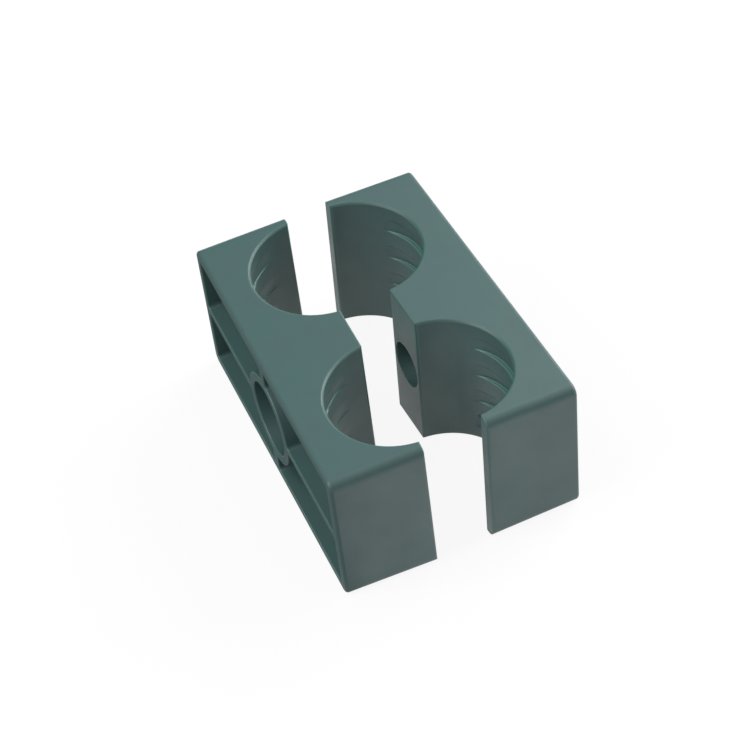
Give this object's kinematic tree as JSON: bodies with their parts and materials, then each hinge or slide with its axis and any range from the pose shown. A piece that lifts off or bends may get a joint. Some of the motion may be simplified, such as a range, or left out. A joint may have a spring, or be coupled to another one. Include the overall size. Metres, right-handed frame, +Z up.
{
  "type": "hydraulic tube clamp",
  "caption": "Twin-tube clamp body in loose moulded plastic halves, each with half-round tube seats, a bolt hole between them and a ribbed, pocketed back.",
  "frame": {"origin": "middle of the footprint of the standing pair, on the floor", "axes": "+Z up and along the tubes, +X along the long side of the left half, +Y from the left half across the parting gap to the right half"},
  "size_m": [0.0686, 0.0476, 0.03],
  "materials": {
    "green_polypropylene": "fine semi-matt moulded surface, dark green"
  },
  "bodies": {
    "root": {"clamp_half_left": "green_polypropylene", "clamp_half_right": "green_polypropylene"}
  },
  "joints": []
}
